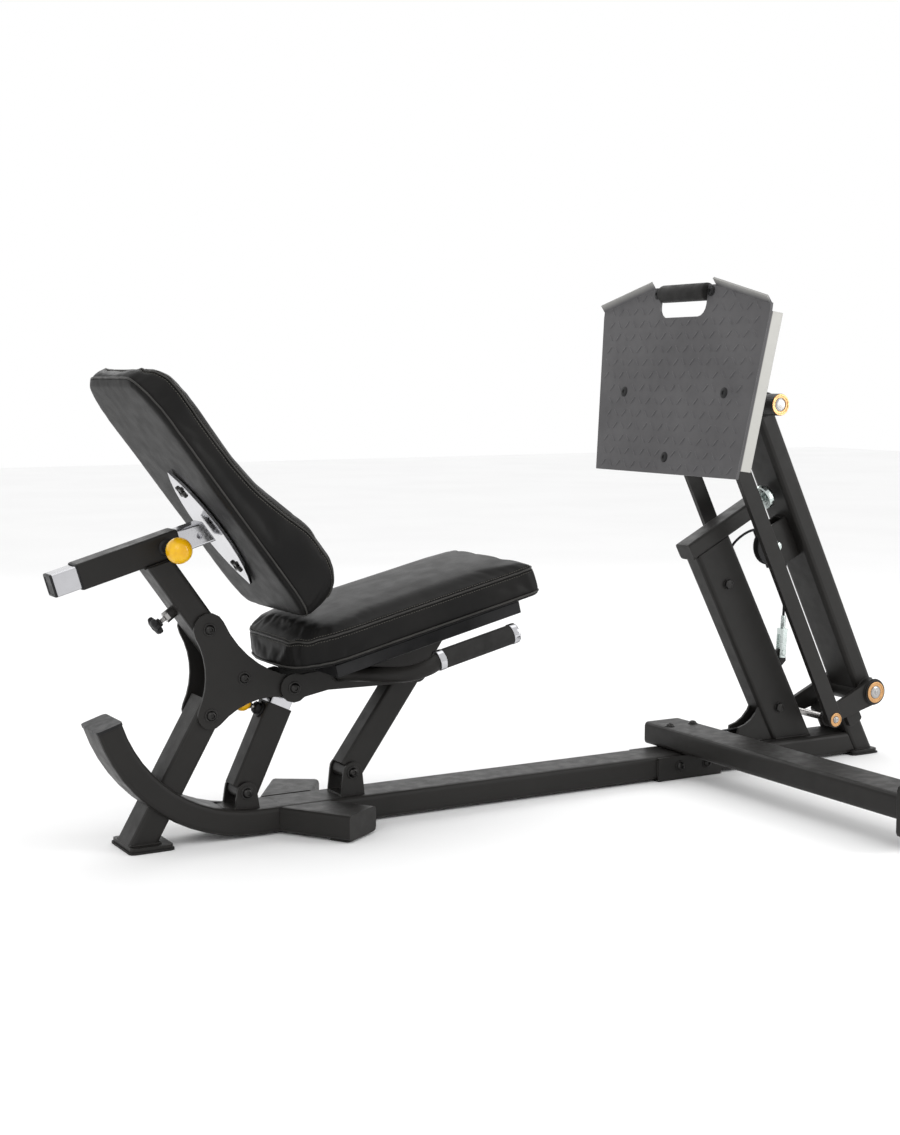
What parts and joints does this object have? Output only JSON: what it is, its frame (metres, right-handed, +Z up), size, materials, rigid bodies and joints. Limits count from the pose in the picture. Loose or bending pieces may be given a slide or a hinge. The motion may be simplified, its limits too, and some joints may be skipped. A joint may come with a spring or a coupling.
{
  "type": "leg press machine",
  "caption": "Seated leg press station: foot plate on a parallel linkage driven by a cable, reclining seat and back pad on a low steel base.",
  "frame": {"origin": "on the floor, at the centre of the rear foot's underside, on the machine's centre plane", "axes": "+X runs along the base rail from the seat to the foot plate, +Y is the user's left, +Z is up"},
  "size_m": [1.9927, 1.0604, 1.1062],
  "materials": {
    "frame_black": "matt black powder coat",
    "chrome": "polished chrome plate",
    "steel": "turned steel",
    "zinc": "bright zinc plate",
    "tread_plate": "grey painted tread plate",
    "black_rubber": "matt",
    "black_plastic": "satin",
    "yellow_ball": "gloss",
    "black_vinyl": "fine-grained vinyl"
  },
  "bodies": {
    "base": {"base_rail_rear": "frame_black", "base_rail_front": "frame_black", "tail_tube": "frame_black", "outrigger_near": "frame_black", "outrigger_far": "frame_black", "rear_post": "frame_black", "stub_post": "frame_black", "splice_saddle": "frame_black", "cross_beam": "frame_black", "tower_post": "frame_black", "tower_head": "frame_black", "ground_plate_near": "frame_black", "ground_plate_far": "frame_black", "tail_cap": "black_plastic", "outrigger_pad_near": "black_rubber", "outrigger_pad_far": "black_rubber", "rear_foot_pad": "black_rubber", "stub_foot_pad": "black_rubber", "stop_bumper": "zinc", "arm_axle": "steel", "cable_clevis": "zinc", "press_cable": "black_rubber", "bolt_rear_post": "steel", "bolt_front_link": "steel", "bolt_strut": "steel"},
    "arm": {"press_arm": "frame_black", "pulley_bracket": "frame_black", "arm_pulley_bolt": "steel"},
    "arm_pulley": {"arm_pulley": "black_plastic"},
    "upper_pulley": {"tower_pulley_upper": "black_plastic"},
    "lower_pulley": {"tower_pulley_lower": "black_plastic"},
    "links": {"link_bar_near": "frame_black", "link_bar_far": "frame_black", "link_axle": "steel"},
    "press_carriage": {"carriage": "frame_black", "carriage_axle": "steel", "foot_plate": "tread_plate", "press_handle": "black_rubber", "link_top_pin": "steel"},
    "recliner": {"gusset_near": "frame_black", "gusset_far": "frame_black", "back_post": "frame_black", "back_sleeve": "frame_black", "bolt_seat_rear": "steel"},
    "back_rest": {"slide_tube": "chrome", "mount_plate": "chrome", "back_pad": "black_vinyl"},
    "back_pin": {"back_pull_pin": "yellow_ball"},
    "clamp_knob": {"star_knob": "black_plastic"},
    "seat": {"seat_board": "black_plastic", "seat_plate_near": "frame_black", "seat_plate_far": "frame_black", "seat_pad": "black_vinyl", "handle_near": "black_rubber", "handle_far": "black_rubber", "bolt_seat_front": "steel"},
    "front_link": {"front_link": "frame_black"},
    "strut": {"strut_outer": "frame_black"},
    "strut_tube": {"strut_inner": "chrome"},
    "strut_pin": {"strut_pull_pin": "yellow_ball"}
  },
  "joints": [
    {"name": "arm_swing", "type": "hinge", "parent": "base", "child": "arm", "pos_m": [1.789, 0, 0.151], "axis": [0, 1, 0], "range_deg": [0, 32], "deforming": ["press_cable"]},
    {"name": "link_swing", "type": "hinge", "parent": "base", "child": "links", "pos_m": [1.649, 0, 0.102], "axis": [0, 1, 0], "range_deg": [-0.5, 32.5]},
    {"name": "carriage_pivot", "type": "hinge", "parent": "arm", "child": "press_carriage", "pos_m": [1.45715, 0, 0.83139], "axis": [0, 1, 0], "range_deg": [-32.5, 0.5]},
    {"name": "arm_pulley_spin", "type": "hinge", "parent": "arm", "child": "arm_pulley", "pos_m": [1.53, 0, 0.505], "axis": [0, 1, 0], "continuous": true},
    {"name": "upper_pulley_spin", "type": "hinge", "parent": "base", "child": "upper_pulley", "pos_m": [1.38522, 0, 0.42707], "axis": [0, 1, 0], "continuous": true},
    {"name": "lower_pulley_spin", "type": "hinge", "parent": "base", "child": "lower_pulley", "pos_m": [1.54089, 0, 0.12931], "axis": [0, 1, 0], "continuous": true},
    {"name": "recline", "type": "hinge", "parent": "base", "child": "recliner", "pos_m": [0.126, 0, 0.248], "axis": [0, -1, 0], "range_deg": [0, 12]},
    {"name": "seat_tilt", "type": "hinge", "parent": "recliner", "child": "seat", "pos_m": [0.298, 0, 0.288], "axis": [0, -1, 0], "range_deg": [-17.9, 0.2]},
    {"name": "front_link_swing", "type": "hinge", "parent": "base", "child": "front_link", "pos_m": [0.433, 0, 0.101], "axis": [0, -1, 0], "range_deg": [-0.2, 3.6]},
    {"name": "strut_swing", "type": "hinge", "parent": "base", "child": "strut", "pos_m": [0.203, 0, 0.086], "axis": [0, -1, 0], "range_deg": [-0.2, 6.1]},
    {"name": "strut_slide", "type": "slide", "parent": "strut", "child": "strut_tube", "axis": [0.4256, 0, 0.9049], "range_m": [-0.0005, 0.0285]},
    {"name": "back_slide", "type": "slide", "parent": "recliner", "child": "back_rest", "axis": [0.9603, 0, 0.279], "range_m": [-0.035, 0.07]},
    {"name": "back_pin_pull", "type": "slide", "parent": "recliner", "child": "back_pin", "axis": [0, -1, 0], "range_m": [0, 0.008], "stiffness_N_per_m": 1500},
    {"name": "strut_pin_pull", "type": "slide", "parent": "strut", "child": "strut_pin", "axis": [-0.9049, 0, 0.4256], "range_m": [0, 0.008], "stiffness_N_per_m": 1500},
    {"name": "clamp_knob_turn", "type": "hinge", "parent": "recliner", "child": "clamp_knob", "pos_m": [0.0696, 0, 0.44879], "axis": [-0.8161, 0, -0.5779], "range_deg": [-180, 180]}
  ],
  "couplings": [
    {"joint": "link_swing", "follows": "arm_swing", "ratio": 1},
    {"joint": "carriage_pivot", "follows": "arm_swing", "ratio": -1},
    {"joint": "seat_tilt", "follows": "recline", "ratio": -1.4724},
    {"joint": "front_link_swing", "follows": "recline", "ratio": 0.28111},
    {"joint": "strut_swing", "follows": "recline", "ratio": 0.49097},
    {"joint": "strut_slide", "follows": "recline", "m_per_rad": 0.1339}
  ]
}
